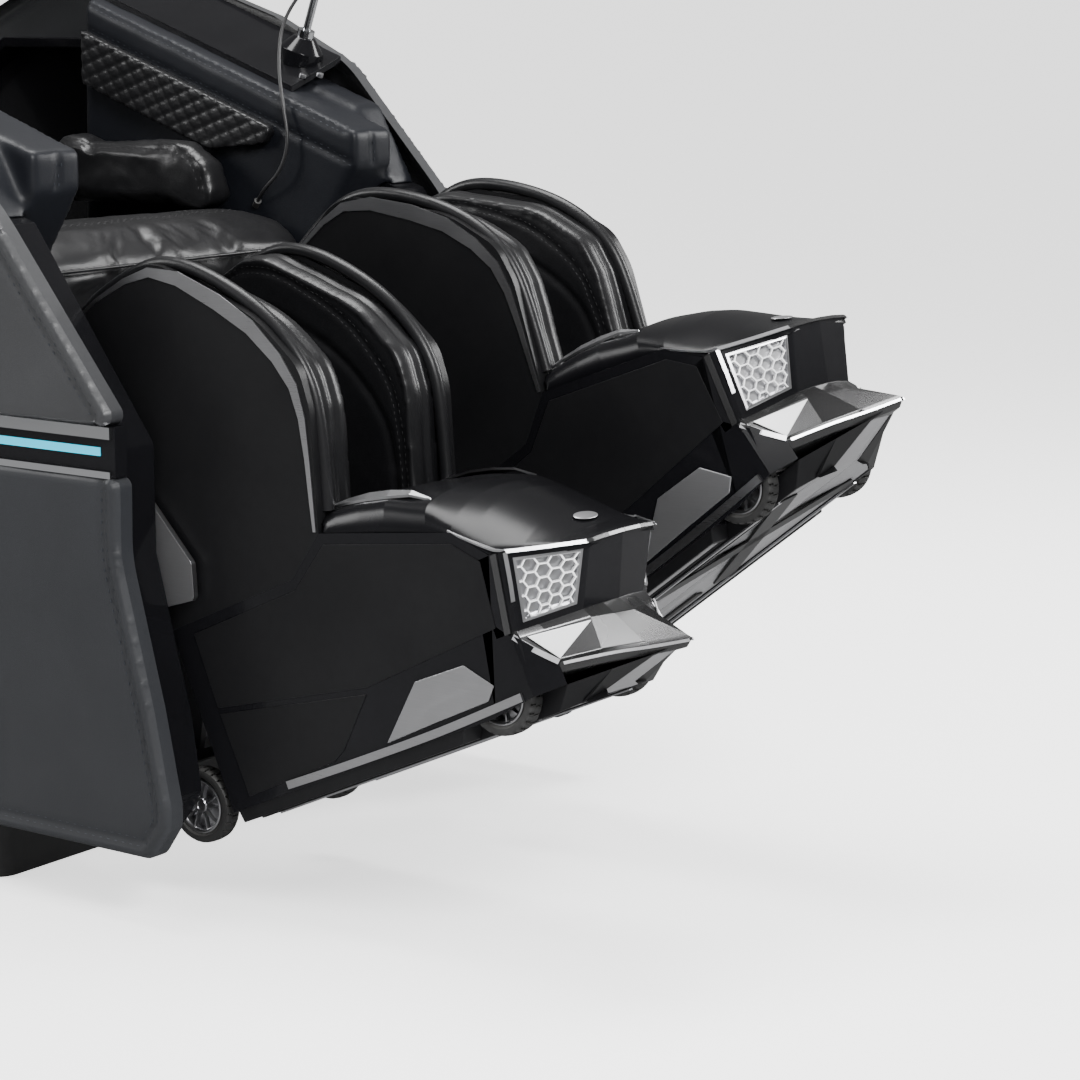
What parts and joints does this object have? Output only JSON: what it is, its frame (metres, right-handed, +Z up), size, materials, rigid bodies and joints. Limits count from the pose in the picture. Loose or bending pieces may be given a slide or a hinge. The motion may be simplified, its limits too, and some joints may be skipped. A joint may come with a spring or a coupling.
{
  "type": "massage chair",
  "caption": "Reclining massage chair with two separate lifting leg-and-foot modules, lit side panels and a remote on a stand.",
  "frame": {"origin": "middle of the plinth's flat underside", "axes": "+Z up, -Y the way the sitter faces, +X the sitter's left, all at the rest pose"},
  "size_m": [0.863, 2.0162, 1.4062],
  "materials": {
    "plinth_black": "satin moulded plastic",
    "frame_steel": "black powder coat",
    "shaft_steel": "ground bar",
    "motor_black": "satin paint",
    "guard_steel": "satin with black faces",
    "control_grey": "fine grain",
    "pump_grey": "fine grain",
    "cover_black": "fine grain",
    "seat_leather": "glossy stitched leather",
    "upper_leather": "stitched dark leather",
    "lower_leather": "stitched blue-grey leather",
    "liner_black": "gloss",
    "belt_black": "gloss",
    "light_cyan": "lit light guide",
    "trim_chrome": "satin chrome",
    "arm_leather": "stitched blue-grey leather",
    "deck_black": "gloss",
    "quilt_leather": "diamond quilting",
    "hip_leather": "piped pad",
    "socket_black": "gloss with bright flange",
    "button_silver": "spun",
    "gland_rubber": "matt",
    "cord_grey": "smooth sheath",
    "pole_chrome": "bright",
    "cradle_black": "satin",
    "remote_black": "gloss with keys",
    "back_black": "fine grain",
    "back_leather": "glossy stitched leather",
    "wing_leather": "glossy stitched leather",
    "pillow_leather": "soft stitched leather",
    "rail_steel": "ground rods",
    "carriage_black": "moulded",
    "roller_grey": "soft rollers",
    "arm_steel": "black powder coat",
    "calf_black": "satin moulded plastic",
    "calf_leather": "stitched airbag pads",
    "boot_black": "gloss moulded plastic",
    "hood_leather": "stitched leather hood",
    "face_black": "gloss with bright honeycomb grilles",
    "leg_chrome": "brushed silver",
    "sole_grey": "patterned",
    "foot_rubber": "soft rollers",
    "tyre_black": "treaded",
    "rim_silver": "machined spokes"
  },
  "bodies": {
    "base": {"base_plinth": "plinth_black", "base_frame": "frame_steel", "knee_shaft": "shaft_steel", "leg_motors": "motor_black", "side_guards": "guard_steel", "control_box": "control_grey", "air_pump": "pump_grey", "rear_cover": "cover_black", "seat_cushion": "seat_leather", "upper_panels": "upper_leather", "lower_panels": "lower_leather", "side_liners": "liner_black", "light_belts": "belt_black", "light_strips": "light_cyan", "panel_trims": "trim_chrome", "arm_bodies": "arm_leather", "arm_decks": "deck_black", "quilt_pads": "quilt_leather", "hip_pads": "hip_leather", "stand_socket": "socket_black", "cord_gland": "gland_rubber"},
    "stand": {"stand_pole": "pole_chrome", "remote_cradle": "cradle_black", "remote_cord": "cord_grey"},
    "remote": {"remote_case": "remote_black"},
    "power_button": {"power_button": "button_silver"},
    "pause_button": {"pause_button": "button_silver"},
    "backrest": {"back_shell": "back_black", "back_cushion": "back_leather", "shoulder_wings": "wing_leather", "massage_rails": "rail_steel"},
    "pillow": {"head_pillow": "pillow_leather"},
    "carriage": {"massage_carriage": "carriage_black"},
    "rollers": {"massage_rollers": "roller_grey"},
    "right_leg": {"right_lift_arm": "arm_steel", "right_calf_shell": "calf_black", "right_calf_pads": "calf_leather", "right_boot_shell": "boot_black", "right_boot_hood": "hood_leather", "right_boot_face": "face_black", "right_leg_trims": "leg_chrome", "right_boot_sole": "sole_grey"},
    "right_rear_wheels": {"right_rear_tyres": "tyre_black", "right_rear_rims": "rim_silver"},
    "right_front_wheels": {"right_front_tyres": "tyre_black", "right_front_rims": "rim_silver"},
    "right_foot_roller": {"right_foot_roller": "foot_rubber"},
    "left_leg": {"left_lift_arm": "arm_steel", "left_calf_shell": "calf_black", "left_calf_pads": "calf_leather", "left_boot_shell": "boot_black", "left_boot_hood": "hood_leather", "left_boot_face": "face_black", "left_leg_trims": "leg_chrome", "left_boot_sole": "sole_grey"},
    "left_rear_wheels": {"left_rear_tyres": "tyre_black", "left_rear_rims": "rim_silver"},
    "left_front_wheels": {"left_front_tyres": "tyre_black", "left_front_rims": "rim_silver"},
    "left_foot_roller": {"left_foot_roller": "foot_rubber"}
  },
  "joints": [
    {"name": "right_leg_lift", "type": "hinge", "parent": "base", "child": "right_leg", "pos_m": [-0.2, -0.43, 0.645], "axis": [-1, 0, 0], "range_deg": [-21, 34]},
    {"name": "left_leg_lift", "type": "hinge", "parent": "base", "child": "left_leg", "pos_m": [0.2, -0.43, 0.645], "axis": [-1, 0, 0], "range_deg": [-35, 20]},
    {"name": "right_rear_wheels_turn", "type": "hinge", "parent": "right_leg", "child": "right_rear_wheels", "pos_m": [-0.2, -0.70926, 0.1235], "axis": [1, 0, 0], "continuous": true},
    {"name": "right_front_wheels_turn", "type": "hinge", "parent": "right_leg", "child": "right_front_wheels", "pos_m": [-0.2, -1.14684, 0.31833], "axis": [1, 0, 0], "continuous": true},
    {"name": "right_foot_roller_turn", "type": "hinge", "parent": "right_leg", "child": "right_foot_roller", "pos_m": [-0.2, -0.93916, 0.23899], "axis": [1, 0, 0], "continuous": true},
    {"name": "left_rear_wheels_turn", "type": "hinge", "parent": "left_leg", "child": "left_rear_wheels", "pos_m": [0.2, -0.82712, 0.20655], "axis": [1, 0, 0], "continuous": true},
    {"name": "left_front_wheels_turn", "type": "hinge", "parent": "left_leg", "child": "left_front_wheels", "pos_m": [0.2, -1.20458, 0.50145], "axis": [1, 0, 0], "continuous": true},
    {"name": "left_foot_roller_turn", "type": "hinge", "parent": "left_leg", "child": "left_foot_roller", "pos_m": [0.2, -1.02226, 0.37423], "axis": [1, 0, 0], "continuous": true},
    {"name": "recline", "type": "hinge", "parent": "base", "child": "backrest", "pos_m": [0, 0.13, 0.69], "axis": [-1, 0, 0], "range_deg": [-16, 30]},
    {"name": "massage_travel", "type": "slide", "parent": "backrest", "child": "carriage", "axis": [0, 0.6157, 0.788], "range_m": [-0.18, 0.33]},
    {"name": "rollers_turn", "type": "hinge", "parent": "carriage", "child": "rollers", "pos_m": [0, 0.35208, 0.93527], "axis": [1, 0, 0], "continuous": true},
    {"name": "pillow_flip", "type": "hinge", "parent": "backrest", "child": "pillow", "pos_m": [0, 0.52619, 1.30431], "axis": [-1, 0, 0], "range_deg": [0, 110]},
    {"name": "stand_swivel", "type": "hinge", "parent": "base", "child": "stand", "pos_m": [0.362, -0.302, 0.9838], "axis": [0, -0.3354, 0.9421], "range_deg": [-40, 40], "deforming": ["remote_cord"]},
    {"name": "remote_tilt", "type": "hinge", "parent": "stand", "child": "remote", "pos_m": [0.362, -0.39292, 1.23909], "axis": [1, 0, 0], "range_deg": [-20, 20]},
    {"name": "power_press", "type": "slide", "parent": "base", "child": "power_button", "axis": [0, 0.3354, -0.9421], "range_m": [0, 0.0015], "stiffness_N_per_m": 200},
    {"name": "pause_press", "type": "slide", "parent": "base", "child": "pause_button", "axis": [0, 0.3354, -0.9421], "range_m": [0, 0.0015], "stiffness_N_per_m": 200}
  ]
}
